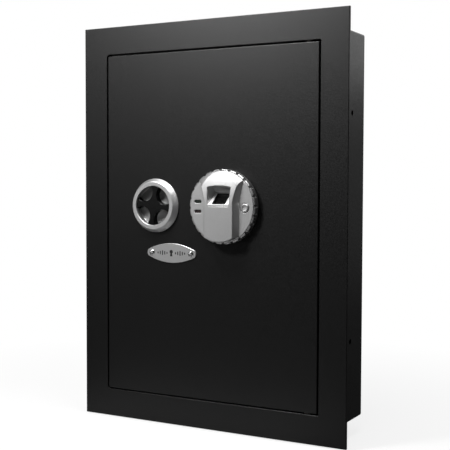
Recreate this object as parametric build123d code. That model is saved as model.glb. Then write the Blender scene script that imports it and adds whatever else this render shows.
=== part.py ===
from build123d import *
import os
import math

# Recessed wall safe with a fingerprint reader and a finger-well knob.
# Millimetres. +X right and +Z up as seen from the front, +Y into the wall.
# Origin: centre of the faceplate's rear plane (the wall surface), so the faceplate is at
# y = -4..0 and the body box runs back from y = 0. The bolts are withdrawn.

# ---------------------------------------------------------------- driving dimensions
FACE_W, FACE_H, FACE_T = 388.0, 531.0, 4.0        # faceplate outline and thickness
FRONT_Y = -FACE_T                                 # front plane of faceplate and door
BORDER = 36.5                                     # faceplate width beside the door
OPEN_W, OPEN_H = FACE_W - 2 * BORDER, 457.0       # door opening
GAP = 2.0                                         # running gap round the door
DOOR_W, DOOR_H = OPEN_W - 2 * GAP, OPEN_H - 2 * GAP
BODY_W, BODY_H, BODY_D = 356.0, 490.0, 91.0       # box behind the faceplate
SHEET = 2.0
INNER_X, INNER_Z = BODY_W / 2 - SHEET, BODY_H / 2 - SHEET   # inner faces of the body walls
BEND_R = 3.0
REAR_LIP = 16.0
STUD_HOLE_R, STUD_HOLE_Y, STUD_HOLE_Z = 3.5, 48.0, 143.0

HINGE_X, HINGE_Y = DOOR_W / 2 - 16.0, 4.0         # hinge axis, 8 mm behind the door face
PIN_R = 3.0

KNOB_X, KNOB_Z = -78.2, 25.5
KNOB_R, KNOB_FRONT_R, KNOB_IN_R = 35.6, 31.5, 25.9
KNOB_FRONT_Y = -12.6
KNOB_REST = -7.1                                  # turn at rest, degrees, negative is clockwise
CRANK_R, CRANK_HALF = 14.0, 35.0                  # crank throw and half swing in degrees

READ_X, READ_Z = 27.8, KNOB_Z
READ_R = 47.6                                     # over the scalloped ring
PLATEAU_Y, HOOD_Y = -15.5, -24.5                  # reader's flat face and front of its hood
SCALLOPS = 24
SCALLOP_PHASE = 2.3                               # degrees, first notch above the horizontal

PLATE_X, PLATE_Z, PLATE_L, PLATE_H = -53.2, -37.0, 75.4, 25.6
PLATE_SCREWS = [(PLATE_X + offset, PLATE_Z) for offset in (-30, 30)]
LOCK_X, LOCK_Z = PLATE_X, PLATE_Z

BOLT_R, BOLT_Y, BOLT_ZS = 8.0, 13.0, (130.0, -130.0)
RIVET_X = -112
BAR_Y0, BAR_Y1 = BOLT_Y - 1.5, BOLT_Y + 1.5
GUIDE_STUD_ZS = (90.0, -90.0)
PLUNGER_X, PLUNGER_Y = -24.0, BOLT_Y

COVER_X0, COVER_X1, COVER_Z, COVER_Y = -148.0, 125.0, 212.0, 26.0
POST_PLACES = [(x, z) for x in (-137, 113, -12) for z in (199, -199)]
BAT_X0, BAT_X1, BAT_Z0, BAT_Z1 = 8.5, 77.5, -151.0, -89.0   # battery opening in the cover
BAT_X = (BAT_X0 + BAT_X1) / 2
PROG_X, PROG_Z = 92.0, -30.0                      # program button

os.makedirs("parts", exist_ok=True)


# ---------------------------------------------------------------- helpers
def xz(y):
    """Sketch plane at depth y: local x is X, local y is Z, normal points to the front (-Y)."""
    return Plane(origin=(0, y, 0), x_dir=(1, 0, 0), z_dir=(0, -1, 0))


def prism(sketch, y0, y1):
    return extrude(xz(y1) * sketch, amount=(y1 - y0))


def box(x0, x1, y0, y1, z0, z1):
    """Box between two limits on each axis, given in either order."""
    centre = Pos((x0 + x1) / 2, (y0 + y1) / 2, (z0 + z1) / 2)
    return centre * Box(abs(x1 - x0), abs(y1 - y0), abs(z1 - z0))


def block(x, z, y0, y1, half_x, half_z):
    """Box centred on (x, z)."""
    return box(x - half_x, x + half_x, y0, y1, z - half_z, z + half_z)


def cyl_y(x, z, y0, y1, r):
    return prism(Pos(x, z) * Circle(r), y0, y1)


def cyl_x(y, z, x0, x1, r):
    return Pos((x0 + x1) / 2, y, z) * Rot(0, 90, 0) * Cylinder(r, x1 - x0)


def cyl_z(x, y, z0, z1, r):
    return Pos(x, y, (z0 + z1) / 2) * Cylinder(r, abs(z1 - z0))


def polygon(points):
    return make_face(Polyline(points, close=True))


def turned(points, x, z):
    """Solid of revolution about the line parallel to Y through (x, z); points are (radius, y)."""
    profile = polygon([(r, y, 0) for r, y in points])
    return Pos(x, 0, z) * revolve(profile, axis=Axis.Y, revolution_arc=360)


def rounded(width, height, left_r, right_r):
    """Rectangle centred on the origin with its own corner radius at the left and right."""
    a, b = width / 2, height / 2
    with BuildSketch() as s:
        with BuildLine():
            Line((-a + left_r, b), (a - right_r, b))
            RadiusArc((a - right_r, b), (a, b - right_r), right_r)
            Line((a, b - right_r), (a, -b + right_r))
            RadiusArc((a, -b + right_r), (a - right_r, -b), right_r)
            Line((a - right_r, -b), (-a + left_r, -b))
            RadiusArc((-a + left_r, -b), (-a, -b + left_r), left_r)
            Line((-a, -b + left_r), (-a, b - left_r))
            RadiusArc((-a, b - left_r), (-a + left_r, b), left_r)
        make_face()
    return s.sketch


def edges_at_y(part, y):
    """Edges that lie wholly in the plane at depth y."""
    def in_plane(edge):
        bounds = edge.bounding_box()
        return abs(bounds.min.Y - y) < 0.01 and abs(bounds.max.Y - y) < 0.01
    return part.edges().filter_by(in_plane)


def drill(part, places, y0, y1, r):
    """Cut a hole along Y at each (x, z)."""
    for x, z in places:
        part = part - cyl_y(x, z, y0, y1, r)
    return part


def cut_cross(part, x, z, y0, y1, half_length, half_width):
    """Cut a cross recess into a screw head."""
    part = part - block(x, z, y0, y1, half_length, half_width)
    return part - block(x, z, y0, y1, half_width, half_length)


def save(name, *shapes):
    solids = [solid for shape in shapes for solid in shape.solids()]
    out = solids[0] if len(solids) == 1 else Compound(solids)
    out.label = name
    export_step(out, f"parts/{name}.step")


# ---------------------------------------------------------------- cabinet
frame = prism(Rectangle(FACE_W, FACE_H), FRONT_Y, 0)
frame = frame - prism(rounded(OPEN_W, OPEN_H, 5.0, 1.2), FRONT_Y - 1, 1)
frame = fillet(edges_at_y(frame, FRONT_Y), 0.8)
save("front_frame", frame)


def bent_box(half_x, half_z, y0, y1, r):
    """Box with its edges along Y and round its rear face rounded."""
    solid = box(-half_x, half_x, y0, y1, -half_z, half_z)
    return fillet(solid.edges().filter_by(Axis.Y) + edges_at_y(solid, y1), r)


shell = bent_box(BODY_W / 2, BODY_H / 2, 0, BODY_D, BEND_R)
shell = shell - bent_box(INNER_X, INNER_Z, -1, BODY_D - SHEET, BEND_R - SHEET)
shell = shell - block(0, 0, BODY_D - 5, BODY_D + 1, BODY_W / 2 - REAR_LIP, BODY_H / 2 - REAR_LIP)
for z in (STUD_HOLE_Z, -STUD_HOLE_Z):
    shell = shell - cyl_x(STUD_HOLE_Y, z, -BODY_W, BODY_W, STUD_HOLE_R)
save("body_shell", shell)

# back panel: its field is sunk at the front and raised behind, as if pressed
BACK_X, BACK_Z = INNER_X - 1.2, INNER_Z - 1.2
FIELD_Y = BODY_D - 3.2
back = block(0, 0, BODY_D - 4.0, BODY_D - 2.0, BACK_X, BACK_Z)
back = back - block(0, 0, BODY_D - 5, FIELD_Y, BACK_X - 26, BACK_Z - 26)
back = back + block(0, 0, FIELD_Y, BODY_D - 1.4, BACK_X - 28, BACK_Z - 28)
save("back_panel", back)

JAMB_X = -OPEN_W / 2 - 1.5                        # inner face of the latch jamb
JAMB_Z = 190
jamb = box(JAMB_X - 3, JAMB_X, 0, 26, -JAMB_Z, JAMB_Z)
jamb = jamb + box(-INNER_X + 0.5, JAMB_X, 0, 3, -JAMB_Z, JAMB_Z)
for z in BOLT_ZS:
    jamb = jamb - cyl_x(BOLT_Y, z, JAMB_X - 6, JAMB_X + 3, BOLT_R + 1.2)
save("latch_jamb", jamb)

# angle bars above and below the door opening
STOP_X0, STOP_X1 = -150, 116
stops = []
for s in (1, -1):
    inner_z, lip_z, outer_z = [s * (OPEN_H / 2 + offset) for offset in (-4.5, 1.5, 4.5)]
    stops.append(box(STOP_X0, STOP_X1, 0.4, 3.2, inner_z, outer_z)
                 + box(STOP_X0, STOP_X1, 0, 12, lip_z, outer_z))
save("door_stops", *stops)

# ---------------------------------------------------------------- hinges, top and bottom
LEAF_Z0, LEAF_Z1 = 230.0, 234.0                   # horizontal leaf of the bracket
LEAF_X1, LEAF_D = INNER_X - 0.1, 19
PIN_SEAT_Z = 234.2                                # underside of the pin head
LUG_Z0, LUG_Z1 = 212.5, 226.5
LUG_R = 6
brackets, pins, washers, lugs = [], [], [], []
for s in (1, -1):
    leaf = box(HINGE_X - 12, LEAF_X1, 0, LEAF_D, s * LEAF_Z0, s * LEAF_Z1)
    free_corners = leaf.edges().filter_by(Axis.Z).filter_by(
        lambda e: e.center().X < HINGE_X and e.center().Y > 10)
    leaf = fillet(free_corners, 7)
    leaf = leaf + box(LEAF_X1 - 4, LEAF_X1, 0, LEAF_D, s * 196.0, s * LEAF_Z1)
    leaf = leaf - cyl_z(HINGE_X, HINGE_Y, s * (LEAF_Z0 - 1), s * (LEAF_Z1 + 1), PIN_R + 0.03)
    brackets.append(leaf)

    pins.append(cyl_z(HINGE_X, HINGE_Y, s * 213.0, s * PIN_SEAT_Z, PIN_R)
                + cyl_z(HINGE_X, HINGE_Y + 1.2, s * PIN_SEAT_Z, s * 236.4, 4.8))
    washers.append(cyl_z(HINGE_X, HINGE_Y + 0.1, s * 226.6, s * 229.9, 3.6)
                   - cyl_z(HINGE_X, HINGE_Y, s * 225.6, s * 230.9, PIN_R + 0.06))

    z0, z1 = s * LUG_Z0, s * LUG_Z1
    lug = box(HINGE_X - LUG_R, HINGE_X + LUG_R, 0, HINGE_Y, z0, z1)
    lug = lug + cyl_z(HINGE_X, HINGE_Y, z0, z1, LUG_R) + box(HINGE_X - 22, HINGE_X, 0, 3, z0, z1)
    lug = lug & box(HINGE_X - 30, HINGE_X + 30, 0, 30, z0, z1)    # flat against the door
    lugs.append(lug - cyl_z(HINGE_X, HINGE_Y, z0 - s, z1 + s, PIN_R + 0.06))
save("hinge_brackets", *brackets)
save("hinge_pins", *pins)
save("hinge_washers", *washers)
save("door_hinge_lugs", *lugs)

# ---------------------------------------------------------------- shelves and floor mat
SHELF_X = INNER_X - 1.6
SHELF_Y0, SHELF_Y1, SHELF_T = 34, 86, 1.2
RAIL_Y0, RAIL_Y1 = 41, 84
rails = []
for name, z in (("shelf_upper", 75.0), ("shelf_lower", -85.0)):
    top = z + SHELF_T
    shelf = box(-SHELF_X, SHELF_X, SHELF_Y0, SHELF_Y1, z, top)
    shelf = shelf + box(-SHELF_X, SHELF_X, SHELF_Y0, SHELF_Y0 + SHELF_T, z - 12, top)
    shelf = shelf + box(-SHELF_X, SHELF_X, SHELF_Y1 - SHELF_T, SHELF_Y1, z, z + 10)
    shelf = shelf + box(-SHELF_X, SHELF_X, SHELF_Y0, SHELF_Y0 + 5, z - 12, z - 12 + SHELF_T)
    save(name, shelf)
    for s in (1, -1):
        wall_x = s * (INNER_X - 0.1)
        rails.append(box(s * (INNER_X - 13), wall_x, RAIL_Y0, RAIL_Y1, z - 1.5, z - 0.1)
                     + box(s * (INNER_X - 1.5), wall_x, RAIL_Y0, RAIL_Y1, z - 14, z - 0.1))
save("shelf_rails", *rails)

mat = box(-INNER_X + 2, INNER_X - 2, 6, BODY_D - 6, -INNER_Z + 0.1, -INNER_Z + 3.1)
save("floor_mat", mat)

# ---------------------------------------------------------------- door
READER_SCREWS = [(READ_X + 33 * math.cos(math.radians(a)), READ_Z + 33 * math.sin(math.radians(a)))
                 for a in (90, 210, 330)]
door = prism(rounded(DOOR_W, DOOR_H, 3.0, 1.0), FRONT_Y, 0)
door = fillet(edges_at_y(door, FRONT_Y), 1.0)
for places, r in (([(KNOB_X, KNOB_Z)], 28.4), ([(READ_X, READ_Z)], 10.0), (READER_SCREWS, 2.3),
                  ([(LOCK_X, LOCK_Z)], 9.2), (PLATE_SCREWS, 1.6)):
    door = drill(door, places, FRONT_Y - 1, 1, r)
save("door_plate", door)

# ---------------------------------------------------------------- inner cover
COVER_W, COVER_X = COVER_X1 - COVER_X0, (COVER_X0 + COVER_X1) / 2
COVER_T = 1.5
PANEL_Z, PANEL_W, PANEL_H = 95, COVER_W - 60, 150   # shallow raised panel


def cover_block(z, width, height, r, y0, y1):
    """Round-cornered block centred on the cover's width."""
    return prism(Pos(COVER_X, z) * RectangleRounded(width, height, r), y0, y1)


cover = cover_block(0, COVER_W, 2 * COVER_Z, 7, 0.2, COVER_Y)
cover = fillet(edges_at_y(cover, COVER_Y), 3.0)
hollow = cover_block(0, COVER_W - 3, 2 * COVER_Z - 3, 5.5, -1, COVER_Y - COVER_T)
hollow = fillet(edges_at_y(hollow, COVER_Y - COVER_T), 1.5)
cover = cover - hollow
for z in BOLT_ZS:
    cover = cover - box(COVER_X0 - 2, COVER_X0 + 9, -1, 23, z - 16.5, z + 16.5)
cover = cover - box(BAT_X0, BAT_X1, 20, 30, BAT_Z0, BAT_Z1)
cover = cover - cyl_y(PROG_X, PROG_Z, 20, 30, 6.2)
cover = drill(cover, POST_PLACES, 20, 30, 2.3)
emboss = cover_block(PANEL_Z, PANEL_W, PANEL_H, 10, COVER_Y - 1, COVER_Y + 1.2)
emboss = chamfer(edges_at_y(emboss, COVER_Y + 1.2), 1.0)
void = cover_block(PANEL_Z, PANEL_W - 3, PANEL_H - 3, 8.5, COVER_Y - 2, COVER_Y - 0.3)
cover = (cover + emboss) - void
# hooked guides along both sides of the battery lid
for edge_x, s in ((BAT_X0, -1), (BAT_X1, 1)):
    outer_x = edge_x + s * 4.2
    cover = cover + box(edge_x + s * 1.2, outer_x, COVER_Y - 0.5, COVER_Y + 4.0, -208, BAT_Z1)
    cover = cover + box(edge_x - s * 1.4, outer_x, COVER_Y + 2.8, COVER_Y + 4.0, -208, BAT_Z1)
save("inner_cover", cover)

COVER_SCREW = [(0, 12), (1.7, 12), (1.7, COVER_Y), (3.9, COVER_Y), (3.7, COVER_Y + 1.3),
               (2.4, COVER_Y + 2.1), (0, COVER_Y + 2.3)]   # (radius, y)
posts, screws = [], []
for x, z in POST_PLACES:
    posts.append(cyl_y(x, z, 0, COVER_Y - 1.6, 4.0) - cyl_y(x, z, 8, COVER_Y, 1.75))
    screw = turned(COVER_SCREW, x, z)
    screws.append(cut_cross(screw, x, z, COVER_Y + 1.0, COVER_Y + 3, 2.2, 0.4))
save("cover_posts", *posts)
save("cover_screws", *screws)

# ---------------------------------------------------------------- guides and knob bearing
guides = []
for z in BOLT_ZS:
    guide = box(-146, -142, 0, 24, z - 15, z + 15) + box(-142, -124, 0, 3, z - 15, z + 15)
    rear_corners = guide.edges().filter_by(Axis.X).filter_by(lambda e: e.center().Y > 20)
    guide = fillet(rear_corners, 5)
    guides.append(guide - cyl_x(BOLT_Y, z, -150, -140, BOLT_R + 0.08))
save("bolt_guides", *guides)

GUIDE_STUD = [(0, 0), (5, 0), (5, BAR_Y0 - 0.2), (3, BAR_Y0 - 0.2), (3, BAR_Y1 + 0.2),
              (5.6, BAR_Y1 + 0.2), (5.6, 16.6), (4.6, 17.4), (0, 17.4)]   # (radius, y)
save("bar_guide_studs", *[turned(GUIDE_STUD, -114, z) for z in GUIDE_STUD_ZS])

# dished plate behind the knob with three holes in its flange
bearing = turned([(6.06, 4.2), (31, 4.2), (31, 0), (39, 0), (39, 2.0), (33, 2.0), (33, 6.2),
                  (6.06, 6.2)], KNOB_X, KNOB_Z)
BEARING_HOLES = [(KNOB_X + 36 * math.cos(math.radians(a)), KNOB_Z + 36 * math.sin(math.radians(a)))
                 for a in (60, 180, 300)]
save("knob_bearing", drill(bearing, BEARING_HOLES, -1, 3, 1.2))

# ---------------------------------------------------------------- knob
WELL_AT, WELL_SPHERE, WELL_Y = 17.2, 12.6, -12.0
WELL_ANGLES = [math.radians(45 + KNOB_REST + 90 * k) for k in range(4)]
CROSS_Y = KNOB_FRONT_Y + 2.0                      # front of the cross between the wells
LOBE_AT = 22.9                                    # centre of the cuts that shape the cross

knob = turned([(0, 3.4), (27.6, 3.4), (27.6, FRONT_Y - 0.3), (KNOB_R, FRONT_Y - 0.3),
               (KNOB_R, FRONT_Y - 1.3), (KNOB_FRONT_R + 0.6, KNOB_FRONT_Y + 1.3),
               (KNOB_FRONT_R + 0.2, KNOB_FRONT_Y + 0.5), (KNOB_FRONT_R - 0.5, KNOB_FRONT_Y),
               (KNOB_IN_R + 0.5, KNOB_FRONT_Y), (KNOB_IN_R, KNOB_FRONT_Y + 0.5),
               (KNOB_IN_R, -4.0), (0, -4.0)], KNOB_X, KNOB_Z)
# four dished finger wells, kept inside the ring
dishes, *other_dishes = [
    Pos(KNOB_X + WELL_AT * math.cos(a), WELL_Y, KNOB_Z + WELL_AT * math.sin(a)) * Sphere(WELL_SPHERE)
    for a in WELL_ANGLES]
for dish in other_dishes:
    dishes = dishes + dish
dishes = dishes & cyl_y(KNOB_X, KNOB_Z, KNOB_FRONT_Y + 1.0, 2.4, KNOB_IN_R - 0.1)
knob = knob - dishes
knob = knob - block(KNOB_X, KNOB_Z, 0.8, 4, 4, 4)
save("knob_body", knob)

cross = prism(Circle(KNOB_IN_R - 0.05), CROSS_Y, -4.05)
for a in WELL_ANGLES:
    start = (LOBE_AT * math.cos(a), CROSS_Y - 0.5, LOBE_AT * math.sin(a))
    cross = cross - Solid.make_cone(12.9, 11.9, 9.0, plane=Plane(origin=start, z_dir=(0, 1, 0)))
cross = fillet(edges_at_y(cross, CROSS_Y), 0.8)
save("knob_grip_cross", Pos(KNOB_X, 0, KNOB_Z) * cross)

spindle = cyl_y(KNOB_X, KNOB_Z, 3.45, 6.5, 6.0) + block(KNOB_X, KNOB_Z, 0.85, 9.5, 3.95, 3.95)
save("knob_spindle", spindle - cyl_y(KNOB_X, KNOB_Z, 2.0, 10, 2.0))

# ---------------------------------------------------------------- crank
crank_angle = math.radians(90 - CRANK_HALF)
CRANK_PIN_X = KNOB_X + CRANK_R * math.cos(crank_angle)
CRANK_PIN_Z = KNOB_Z + CRANK_R * math.sin(crank_angle)
disc = cyl_y(KNOB_X, KNOB_Z, 6.6, 9.5, 19.5)
disc = disc - block(KNOB_X, KNOB_Z, 6, 10, 4.0, 4.0)
disc = disc - cyl_y(CRANK_PIN_X, CRANK_PIN_Z, 6, 10, 3.02)
disc = disc - block(KNOB_X, KNOB_Z - 26, 6, 10, 30, 10)   # flat on the lower edge
save("crank_disc", disc)

save("crank_pin", turned([(0, 6.7), (3.0, 6.7), (3.0, 16.2), (2.4, 16.8), (0, 16.8)],
                         CRANK_PIN_X, CRANK_PIN_Z))

crank_screw = turned([(0, 4.0), (1.9, 4.0), (1.9, 9.55), (5.4, 9.55), (5.0, 10.9), (0, 11.0)],
                     KNOB_X, KNOB_Z)
socket = prism(Pos(KNOB_X, KNOB_Z) * RegularPolygon(2.0, 6), 10.0, 12)
save("crank_screw", crank_screw - socket)

# ---------------------------------------------------------------- boltwork
SLOT_TOP_Z = KNOB_Z + CRANK_R + 1.0               # ends of the crank-pin slot
SLOT_LOW_Z = CRANK_PIN_Z - 1.0
SLOT_R = 3.3
RIVET_R = 2.5
RIVET_PLACES = [(RIVET_X, z) for z in BOLT_ZS]
bar = prism(Pos(-106, 0) * Rectangle(32, 292) + Pos(-56, 27.5) * Rectangle(88, 45), BAR_Y0, BAR_Y1)
bar = bar + prism(polygon([(-12, 6), (-12.5, -3), (-15.5, -3), (-19.0, 6)]), BAR_Y0, BAR_Y1)
bar = bar - box(CRANK_PIN_X - SLOT_R, CRANK_PIN_X + SLOT_R, 5, 20, SLOT_LOW_Z, SLOT_TOP_Z)
bar = drill(bar, [(CRANK_PIN_X, SLOT_LOW_Z), (CRANK_PIN_X, SLOT_TOP_Z)], 5, 20, SLOT_R)
for z in GUIDE_STUD_ZS:
    bar = bar - prism(Pos(-105.2, z) * SlotOverall(24.6, 6.4), 5, 20)
bar = drill(bar, RIVET_PLACES, 5, 20, RIVET_R + 0.05)
bar = bar - prism(Pos(-106, -15) * SlotOverall(60, 12, rotation=90), 5, 20)
bar = bar - prism(Pos(-40, 30) * RectangleRounded(30, 20, 4), 5, 20)
save("bolt_bar", bar)

bolts = []
for z in BOLT_ZS:
    bolt = cyl_x(BOLT_Y, z, -156.6, -106, BOLT_R)
    bolt = chamfer(bolt.edges().filter_by(lambda e: e.bounding_box().max.X < -156), 1.2)
    bolt = bolt - box(-124, -100, BAR_Y0 - 0.1, BAR_Y1 + 0.1, z - 10, z + 10)
    bolts.append(bolt - cyl_y(RIVET_X, z, 0, 26, RIVET_R + 0.05))
save("locking_bolts", *bolts)
RIVET = [(0, 4.4), (RIVET_R, 4.4), (RIVET_R, 21.6), (0, 21.6)]   # (radius, y)
save("bolt_rivets", *[turned(RIVET, x, z) for x, z in RIVET_PLACES])

# ---------------------------------------------------------------- solenoid
SOL_X0, SOL_X1 = PLUNGER_X - 13, PLUNGER_X + 13
SOL_Z0, SOL_Z1 = -88.0, -46.0
COIL_Z0, COIL_Z1 = SOL_Z0 + 2.1, SOL_Z1 - 2.1


def on_plunger(z0, z1, r):
    return cyl_z(PLUNGER_X, PLUNGER_Y, z0, z1, r)


sol_frame = box(SOL_X0, SOL_X1, 0, 2, SOL_Z0 - 8, SOL_Z1 + 8)
sol_frame = sol_frame + box(SOL_X0, SOL_X1, 0, 24, SOL_Z1 - 2, SOL_Z1)
sol_frame = sol_frame + box(SOL_X0, SOL_X1, 0, 24, SOL_Z0, SOL_Z0 + 2)
sol_frame = sol_frame - on_plunger(SOL_Z1 - 3, SOL_Z1 + 1, 4.3)
sol_frame = sol_frame + on_plunger(SOL_Z0 + 1, SOL_Z0 + 12, 3.9)
sol_frame = drill(sol_frame, PLATE_SCREWS[1:], -1, 4, 3.2)   # clears the right plate screw
sol_frame = drill(sol_frame, [(PLUNGER_X, SOL_Z0 - 4), (PLUNGER_X - 8, SOL_Z1 + 4)], -1, 4, 1.7)
save("solenoid_frame", sol_frame)

coil = on_plunger(COIL_Z0, COIL_Z1, 9.4)
coil = coil + on_plunger(COIL_Z0, COIL_Z0 + 2, 10.8) + on_plunger(COIL_Z1 - 2, COIL_Z1, 10.8)
save("solenoid_coil", coil - on_plunger(SOL_Z0, SOL_Z1, 4.2))

plunger = on_plunger(-68.0, -6.5, 4.0) + Pos(PLUNGER_X, PLUNGER_Y, -5.75) * Cone(4.0, 2.8, 1.5)
save("solenoid_plunger", plunger + on_plunger(-33, -31, 6.0))

helix = Helix(pitch=1.3, height=6.5, radius=3.2)
spring = sweep(Plane(origin=helix @ 0, z_dir=helix % 0) * Circle(0.3), path=helix)
save("plunger_spring", Pos(PLUNGER_X, PLUNGER_Y, -75.2) * spring)

# ---------------------------------------------------------------- emergency key lock
barrel = turned([(5.06, FRONT_Y + 0.1), (9.0, FRONT_Y + 0.1), (9.0, 0), (13, 0), (13, 2.5),
                 (9.0, 2.5), (9.0, 13.8), (5.06, 13.8)], LOCK_X, LOCK_Z)
save("lock_barrel", barrel)

plug = cyl_y(LOCK_X, LOCK_Z, FRONT_Y + 0.2, 14.2, 5.0) + block(LOCK_X, LOCK_Z, 14.0, 17.0, 2.9, 2.9)
# annular keyway with a notch at its top
plug = plug - (cyl_y(LOCK_X, LOCK_Z, FRONT_Y - 1, 3, 3.9) - cyl_y(LOCK_X, LOCK_Z, FRONT_Y - 1, 4, 2.5))
plug = plug - box(LOCK_X - 0.8, LOCK_X + 0.8, FRONT_Y - 1, 3, LOCK_Z + 3.5, LOCK_Z + 4.6)
save("lock_plug", plug - cyl_y(LOCK_X, LOCK_Z, 10, 18, 1.3))

cam = prism(Pos(LOCK_X, LOCK_Z + 7) * SlotOverall(30, 11, rotation=90), 14.4, 16.9)
save("lock_cam", cam - block(LOCK_X, LOCK_Z, 14, 18, 2.95, 2.95))

cam_screw = turned([(0, 11), (1.2, 11), (1.2, 17.05), (4.2, 17.05), (3.9, 18.6), (0, 19.0)],
                   LOCK_X, LOCK_Z)
save("lock_cam_screw", cam_screw - block(LOCK_X, LOCK_Z, 18.2, 20, 3.5, 0.5))

# ---------------------------------------------------------------- key cover plate
END_HALF = 4.4                                    # half height at the ends of the long arcs
END_X = PLATE_L / 2 - 1.9


def lens(inset, y):
    """Plate outline at depth y: two long arcs joined by short bowed ends."""
    half_h, half_w = PLATE_H / 2 - inset, PLATE_L / 2 - inset * 1.6
    end_h, end_x = END_HALF - inset * 0.6, END_X - inset * 1.6
    with BuildSketch() as s:
        with BuildLine():
            ThreePointArc((-end_x, end_h), (0, half_h), (end_x, end_h))
            ThreePointArc((end_x, end_h), (half_w, 0), (end_x, -end_h))
            ThreePointArc((end_x, -end_h), (0, -half_h), (-end_x, -end_h))
            ThreePointArc((-end_x, -end_h), (-half_w, 0), (-end_x, end_h))
        make_face()
    return xz(y) * s.sketch


plate = extrude(lens(0, FRONT_Y - 0.05), amount=1.1)
plate = plate + loft([lens(0, FRONT_Y - 1.15), lens(0.55, FRONT_Y - 1.6)], ruled=True)
plate = Pos(PLATE_X, 0, PLATE_Z) * plate
plate = drill(plate, PLATE_SCREWS, FRONT_Y - 3, FRONT_Y + 1, 1.65)
# sunk mark: a keyhole between two rows of five upright bars
mark = Pos(0, 1.7) * Circle(2.5) + polygon([(-1.0, 1.2), (1.0, 1.2), (1.9, -4.3), (-1.9, -4.3)])
for s in (-1, 1):
    for k, height in enumerate((2.6, 4.6, 6.2, 4.6, 2.6)):
        mark = mark + Pos(s * (6.6 + 3.5 * k), 0) * Rectangle(1.5, height)
plate = plate - Pos(PLATE_X, 0, PLATE_Z) * prism(mark, FRONT_Y - 2.0, FRONT_Y - 1.3)
save("key_cover_plate", plate)

PLATE_SCREW = [(0, 1.5), (1.5, 1.5), (1.5, FRONT_Y - 1.65), (4.1, FRONT_Y - 1.65),
               (4.0, FRONT_Y - 2.1), (3.5, FRONT_Y - 2.75), (2.5, FRONT_Y - 3.2),
               (1.2, FRONT_Y - 3.42), (0, FRONT_Y - 3.45)]   # (radius, y)
save("key_cover_screws", *[
    cut_cross(turned(PLATE_SCREW, x, z), x, z, FRONT_Y - 5, FRONT_Y - 2.4, 2.1, 0.42)
    for x, z in PLATE_SCREWS])

# ---------------------------------------------------------------- reader base and ring
AT_READER = Pos(READ_X, 0, READ_Z)                # places parts drawn about the reader centre
FACE_R = 45.4                                     # round face inside the scalloped ring
SEAT_Y = FRONT_Y - 0.95                           # rear of base and ring, on the gasket
gasket = turned([(40.5, FRONT_Y - 0.05), (44.5, FRONT_Y - 0.05), (44.5, FRONT_Y - 0.9),
                 (40.5, FRONT_Y - 0.9)], READ_X, READ_Z)
save("reader_gasket", gasket)

base = turned([(7.6, 1.6), (9.6, 1.6), (9.6, SEAT_Y), (44.55, SEAT_Y), (44.55, -11.4),
               (42.6, -11.4), (42.6, -7.0), (7.6, -7.0)], READ_X, READ_Z)
save("reader_base", drill(base, READER_SCREWS, -8, 0, 1.56))

READER_SCREW = [(0, 2.0), (3.2, 2.0), (3.6, 0.9), (3.6, 0.05), (1.5, 0.05), (1.5, -6.9),
                (0, -6.9)]                        # (radius, y)
save("reader_screws", *[cut_cross(turned(READER_SCREW, x, z), x, z, 1.3, 3, 2.0, 0.4)
                        for x, z in READER_SCREWS])

ring = turned([(44.65, SEAT_Y), (READ_R - 0.4, SEAT_Y), (READ_R, FRONT_Y - 1.4),
               (READ_R, PLATEAU_Y + 2.0), (READ_R - 1.1, PLATEAU_Y + 0.9),
               (44.65, PLATEAU_Y + 0.9)], READ_X, READ_Z)
for k in range(SCALLOPS):
    a = math.radians(SCALLOP_PHASE + 360 / SCALLOPS * k)
    x, z = READ_X + (READ_R + 0.8) * math.cos(a), READ_Z + (READ_R + 0.8) * math.sin(a)
    ring = ring - cyl_y(x, z, PLATEAU_Y - 1, FRONT_Y - 4.4, 2.6)
save("reader_scallop_ring", ring)

# ---------------------------------------------------------------- reader cover
# Drafted central hood over a round face, drawn about the reader centre.
FOOT_HALF, HOOD_HALF = 25.4, 20.3                 # hood half width at its foot and front
HOOD_FOOT_Y = PLATEAU_Y + 0.8
# right-hand edge of the hood's foot, (x, z) from bottom to top
HOOD_EDGE = [(FOOT_HALF, -50), (FOOT_HALF, 4), (26.0, 11), (27.9, 20), (31.0, 32),
             (35.6, 41), (43, 52)]
LED_X, LED_DZ, LED_L, LED_H = -34.5, 6.3, 10.5, 4.3
BTN_X, BTN_Z, BTN_R = 33.3, -0.9, 5.3
READER_SPAN = 60                                  # reaches beyond the reader from its centre


def hood_outline(inset, y):
    """Hood outline at depth y, moved inward by inset from its foot."""
    right = [(x - inset, z) for x, z in HOOD_EDGE]
    left = [(-x, z) for x, z in right]
    with BuildSketch() as s:
        with BuildLine():
            Line(right[0], right[1])
            Spline(right[1:], tangents=[(0, 1), (0.62, 0.78)])
            Line(right[-1], left[-1])
            Spline(left[:0:-1], tangents=[(0.62, -0.78), (0, -1)])
            Line(left[1], left[0])
            Line(left[0], right[0])
        make_face()
    return xz(y) * s.sketch


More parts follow.
